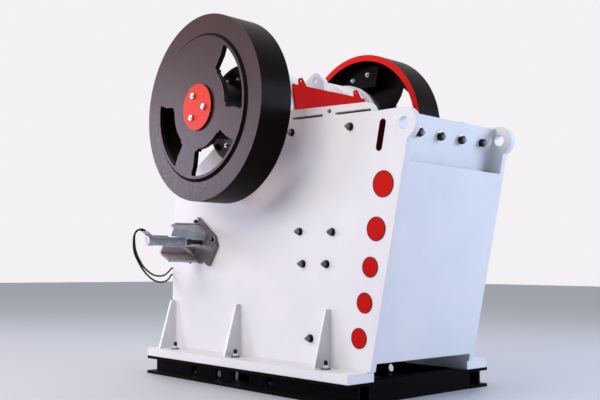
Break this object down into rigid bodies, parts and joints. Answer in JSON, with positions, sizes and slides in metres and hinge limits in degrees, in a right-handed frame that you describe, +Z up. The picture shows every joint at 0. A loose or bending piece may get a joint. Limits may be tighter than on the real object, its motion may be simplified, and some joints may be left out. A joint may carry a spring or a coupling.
{
  "type": "jaw crusher",
  "caption": "Single-toggle jaw crusher with spoked counterweighted flywheels, bolted plate frame, ribbed jaw dies and a flat skid base.",
  "frame": {"origin": "on the floor plane, mid-width, directly below the eccentric shaft's centre line", "axes": "+X towards the feed end with the fixed jaw, +Y across the machine along the shaft, +Z up"},
  "size_m": [3.4173, 3.1216, 3.452],
  "materials": {
    "frame_paint": "semi-gloss off-white paint",
    "skid_paint": "satin black paint",
    "flywheel_paint": "satin black paint",
    "signal_paint": "gloss red paint",
    "jaw_steel": "as-cast manganese steel",
    "housing_iron": "primed casting",
    "galvanised_steel": "zinc-grey steel",
    "machined_steel": "machined steel",
    "hose_rubber": "matt black hose cover"
  },
  "bodies": {
    "frame": {"side_plate_near": "frame_paint", "side_plate_far": "frame_paint", "base_flange_near": "frame_paint", "base_flange_far": "frame_paint", "gussets_near": "frame_paint", "gussets_far": "frame_paint", "skid_beam_near": "skid_paint", "skid_beam_far": "skid_paint", "skid_cross_members": "skid_paint", "front_frame": "frame_paint", "front_upper_plate": "frame_paint", "rear_beam": "frame_paint", "bearing_housing_near": "housing_iron", "bearing_housing_far": "housing_iron", "pin_covers_near": "signal_paint", "pin_covers_far": "signal_paint", "fixed_jaw_die": "jaw_steel", "cheek_plates_near": "jaw_steel", "cheek_plates_far": "jaw_steel", "toggle_seat": "machined_steel", "wedges": "machined_steel", "wedge_cylinder_near": "galvanised_steel", "wedge_cylinder_far": "galvanised_steel", "wedge_bracket_near": "galvanised_steel", "wedge_bracket_far": "galvanised_steel", "return_springs": "machined_steel", "jaw_wedge": "signal_paint", "upper_hose_near": "hose_rubber", "upper_hose_far": "hose_rubber", "lower_hose_near": "hose_rubber", "lower_hose_far": "hose_rubber"},
    "rotor": {"eccentric_shaft": "machined_steel", "flywheel_near": "flywheel_paint", "flywheel_far": "flywheel_paint", "counterweight_near": "flywheel_paint", "counterweight_far": "flywheel_paint", "hub_cap_near": "signal_paint", "hub_cap_far": "signal_paint"},
    "swing_jaw": {"pitman": "frame_paint", "swing_jaw_die": "jaw_steel", "pitman_guard": "signal_paint", "toggle_plate": "machined_steel", "return_rods": "machined_steel"}
  },
  "joints": [
    {"name": "flywheel_turn", "type": "hinge", "parent": "frame", "child": "rotor", "pos_m": [0, 0, 2.577], "axis": [0, 1, 0], "continuous": true},
    {"name": "jaw_level", "type": "hinge", "parent": "rotor", "child": "swing_jaw", "pos_m": [0.00703, 0, 2.56043], "axis": [0, 1, 0], "continuous": true}
  ],
  "couplings": [
    {"joint": "jaw_level", "follows": "flywheel_turn", "ratio": -1}
  ]
}
